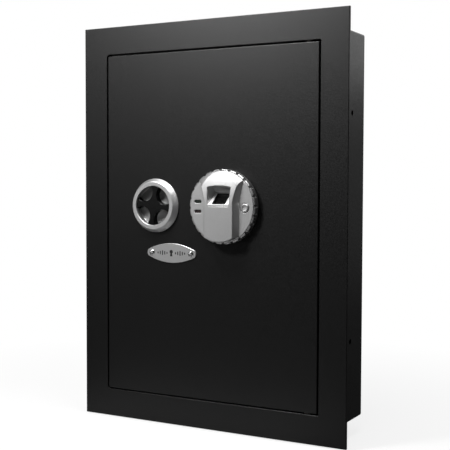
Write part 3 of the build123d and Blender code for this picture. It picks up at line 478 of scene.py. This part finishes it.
def settle(sheet, low, high):
    """Drop the sheet as cloth on a flat bed and keep the shape it takes."""
    bed = add_plane("felt_bed", 1.0, (0, (low.y + high.y) / 2, low.z - 0.0005))
    bed.modifiers.new("col", "COLLISION")
    bed.collision.thickness_outer = 0.001
    bed.collision.cloth_friction = 12
    cloth = sheet.modifiers.new("cloth", "CLOTH")
    fabric = cloth.settings
    fabric.quality = 8
    fabric.mass = 0.25
    fabric.tension_stiffness = fabric.compression_stiffness = fabric.shear_stiffness = 25
    fabric.bending_stiffness = 2.5
    fabric.air_damping = 3
    cloth.collision_settings.distance_min = 0.0015
    cloth.collision_settings.collision_quality = 4
    cloth.point_cache.frame_start = 1
    cloth.point_cache.frame_end = 12
    scene = bpy.context.scene
    for moment in range(1, 11):
        scene.frame_set(moment)
    depsgraph = bpy.context.evaluated_depsgraph_get()
    settled = bpy.data.meshes.new_from_object(sheet.evaluated_get(depsgraph))
    sheet.modifiers.clear()
    sheet.data = settled
    bpy.data.objects.remove(bed)
    scene.frame_set(1)


def clamp(value, least, most):
    return min(max(value, least), most)


def felt_mat():
    """Needle-felt mat that lies with slow waves and soft edges."""
    low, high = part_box("floor_mat")
    mat = felt_sheet(low, high)
    settle(mat, low, high)
    for vertex in mat.data.vertices:
        spot = vertex.co
        spot.z = clamp(spot.z, low.z + MAT_THICK / 2 + MAT_CLEARANCE, low.z + MAT_TOP)
        spot.x = clamp(spot.x, low.x + MAT_MIN_GAP, high.x - MAT_MIN_GAP)
        spot.y = clamp(spot.y, low.y + MAT_MIN_GAP, high.y - MAT_MIN_GAP)
    solidify = mat.modifiers.new("thick", "SOLIDIFY")
    solidify.thickness = MAT_THICK
    solidify.offset = 0
    bevel = mat.modifiers.new("edge", "BEVEL")
    bevel.width = 0.0008
    bevel.segments = 2
    bevel.limit_method = "ANGLE"
    for polygon in mat.data.polygons:
        polygon.use_smooth = True
    mat.data.materials.append(felt_material)
    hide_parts("floor_mat")
    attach(mat, "cabinet")


felt_mat()


# ================================================================ stage floor
def stage_floor_material():
    """White to the camera, glowing more with distance; dull to every other ray."""
    shader = Shader("stage_floor")
    place = shader.coords()
    shader.finish({
        "Base Color": shader.mix(shader.noise(place, scale=3, detail=2), grey(0.92), grey(0.96)),
        "Roughness": 0.9,
    })
    distance = shader.add("ShaderNodeVectorMath", {0: place}, operation="LENGTH")
    glow = shader.add("ShaderNodeEmission", {0: grey(1)})
    glow_share = shader.remap(distance.outputs["Value"], source=(0.15, 0.75), target=(0.80, 1.0))
    seen = shader.mix_shaders(glow_share, shader.surface.outputs[0], glow.outputs[0])

    # Other rays meet a lighter patch centred on (-0.05, -0.09), fading out in x and y
    x, y, _ = shader.split(place)
    off_y = shader.calc("ABSOLUTE", shader.calc("ADD", y, 0.09))
    near = shader.remap(off_y, source=(0.06, 0.16), target=(1.0, 0.0))
    off_x = shader.calc("ABSOLUTE", shader.calc("ADD", x, 0.05))
    across = shader.remap(off_x, source=(0.15, 0.28), target=(1.0, 0.0))
    patch = shader.calc("MULTIPLY", near, across)
    dull = shader.add("ShaderNodeBsdfDiffuse", {0: shader.mix(patch, grey(0.10), grey(0.42))})
    camera_ray = shader.add("ShaderNodeLightPath", {}).outputs["Is Camera Ray"]
    set_inputs(shader.output, {0: shader.mix_shaders(camera_ray, dull.outputs[0], seen)})
    return shader.material


floor = add_plane("stage_floor", 12.0, (0, 0, cad_low.z - 0.0015))
floor.data.materials.append(stage_floor_material())


# ================================================================ lights
def receivers(name, objects):
    """Collection of the only objects that a light falls on."""
    collection = bpy.data.collections.new(name)
    for item in objects:
        collection.objects.link(item)
    return collection


def add_area(name, place, target, size, radiance, lit):
    """Softbox set by radiance, so resizing it keeps its reflections equally bright."""
    light = bpy.data.lights.new(name, "AREA")
    light.shape = "RECTANGLE"
    light.size, light.size_y = size
    light.energy = radiance * math.pi * size[0] * size[1]
    light.spread = math.pi
    lamp = bpy.data.objects.new(name, light)
    bpy.context.scene.collection.objects.link(lamp)
    lamp.location = place
    lamp.rotation_euler = (Vector(target) - Vector(place)).to_track_quat("-Z", "Y").to_euler()
    if lit is not None:
        lamp.light_linking.receiver_collection = lit


black_parts = receivers("coated_parts", [
    piece for piece in nodes.values()
    if piece.data.materials and piece.data.materials[0] in (coat, cover_paint)
] + [floor])
silver_parts = receivers("silver_parts", pieces(
    "knob_body reader_cover sensor_bezel finger_cradle scan_button reader_scallop_ring "
    "key_cover_plate key_cover_screws"))
# The two fills show the form of the walls turned away from the camera
rear_parts = receivers("fill_rear_parts", pieces("back_panel body_shell front_frame"))
left_parts = receivers("fill_left_parts", pieces("body_shell"))
FRONT_BOX = (-0.414, -0.75, 0.637)
FRONT_AIM = (0.02, 0, 0.25)

# name, place, target, (width, height), radiance, what it lights (None for everything)
LIGHTS = [
    ("softbox_top", (-0.16, -0.36, 0.74), (0.0, 0, 0.15), (0.26, 0.22), 31, None),
    ("softbox_front", FRONT_BOX, FRONT_AIM, (0.20, 0.20), 13, None),
    ("softbox_front_coat", FRONT_BOX, FRONT_AIM, (0.20, 0.20), 55, black_parts),
    ("panel_left_silver", (-1.34, -1.62, 0.50), (0, 0, 0.03), (1.3, 1.6), 0.52, silver_parts),
    ("fill_rear", (-0.66, 1.35, 0.35), (0, 0.09, 0), (1.6, 1.2), 3.0, rear_parts),
    ("fill_left", (-1.35, 0.55, 0.30), (-0.17, 0.045, 0), (1.2, 1.2), 2.2, left_parts),
    ("softbox_over", (0.26, -0.12, 0.80), (0.05, 0, 0.10), (0.36, 0.30), 12.5, None),
    ("softbox_back", (0.44, 0.62, 0.60), (0.17, 0.05, 0.12), (0.62, 0.80), 1.2, None),
    ("panel_right", (1.15, 1.60, 0.05), (0.15, 0.05, 0), (1.6, 1.5), 0.17, None),
    ("panel_left", (-1.34, -1.62, 0.62), (0, 0, 0.05), (1.3, 1.5), 0.40, None),
]
for entry in LIGHTS:
    add_area(*entry)

# ================================================================ world
AMBIENT = 0.03  # strength for every ray but the camera's, which sees 1
world = bpy.data.worlds.new("studio")
bpy.context.scene.world = world
world.use_nodes = True
light_path = add_node(world.node_tree, "ShaderNodeLightPath", {})
strength = add_node(world.node_tree, "ShaderNodeMath", {
    0: light_path.outputs["Is Camera Ray"],
    1: 1 - AMBIENT,
    2: AMBIENT,
}, operation="MULTIPLY_ADD")
set_inputs(world.node_tree.nodes["Background"], {0: grey(1), 1: strength.outputs[0]})

# ================================================================ camera
# It stands in front of the door and to the right of it
camera_data = bpy.data.cameras.new("cam")
camera = bpy.data.objects.new("cam", camera_data)
bpy.context.scene.collection.objects.link(camera)
camera_data.sensor_width = 36.0
camera_data.lens = 75.84
camera_data.clip_start = 0.01
camera_data.clip_end = 50
door_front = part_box("front_frame")[0].y
camera.location = (0.61133, door_front - 1.05879, 0.05951)
forward = Vector((-0.48275, 0.87447, -0.04746))
right = Vector((0.87539, 0.48342, 0.00285))
up = Vector((-0.02544, 0.04017, 0.99887))
camera.rotation_euler = Matrix((right, up, -forward)).transposed().to_euler()
bpy.context.scene.camera = camera
bpy.context.scene.view_settings.view_transform = "Standard"
